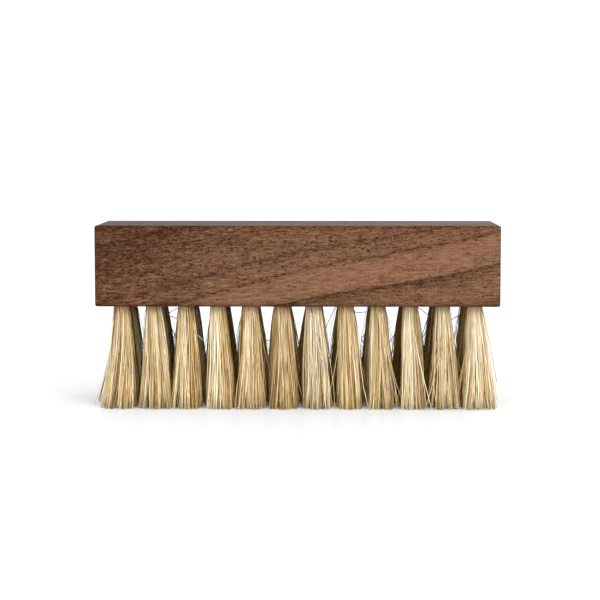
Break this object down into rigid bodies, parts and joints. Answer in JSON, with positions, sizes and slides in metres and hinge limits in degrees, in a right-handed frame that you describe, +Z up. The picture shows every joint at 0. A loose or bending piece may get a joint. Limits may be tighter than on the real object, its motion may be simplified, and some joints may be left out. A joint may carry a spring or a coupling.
{
  "type": "shoe brush",
  "caption": "Hand brush for shoes and clothes: a plain oblong wooden block with rows of natural bristle tufts set in its underside.",
  "frame": {"origin": "on the surface that the trimmed bristle tips stand on, below the middle of the block", "axes": "+X along the block, -Y towards the front as pictured, +Z up from the tips to the back of the block"},
  "size_m": [0.125, 0.0348, 0.0565],
  "materials": {
    "walnut": "oiled walnut, satin, straight grain with open pores",
    "bristle": "natural blond hog bristle, glossy fibres, cut ends",
    "anchor_steel": "plain flat steel wire, hidden in the holes"
  },
  "bodies": {
    "root": {"block": "walnut", "tuft_front_01": "bristle", "tuft_front_02": "bristle", "tuft_front_03": "bristle", "tuft_front_04": "bristle", "tuft_front_05": "bristle", "tuft_front_06": "bristle", "tuft_front_07": "bristle", "tuft_front_08": "bristle", "tuft_front_09": "bristle", "tuft_front_10": "bristle", "tuft_front_11": "bristle", "tuft_front_12": "bristle", "tuft_middle_01": "bristle", "tuft_middle_02": "bristle", "tuft_middle_03": "bristle", "tuft_middle_04": "bristle", "tuft_middle_05": "bristle", "tuft_middle_06": "bristle", "tuft_middle_07": "bristle", "tuft_middle_08": "bristle", "tuft_middle_09": "bristle", "tuft_middle_10": "bristle", "tuft_middle_11": "bristle", "tuft_middle_12": "bristle", "tuft_rear_01": "bristle", "tuft_rear_02": "bristle", "tuft_rear_03": "bristle", "tuft_rear_04": "bristle", "tuft_rear_05": "bristle", "tuft_rear_06": "bristle", "tuft_rear_07": "bristle", "tuft_rear_08": "bristle", "tuft_rear_09": "bristle", "tuft_rear_10": "bristle", "tuft_rear_11": "bristle", "tuft_rear_12": "bristle"}
  },
  "joints": []
}
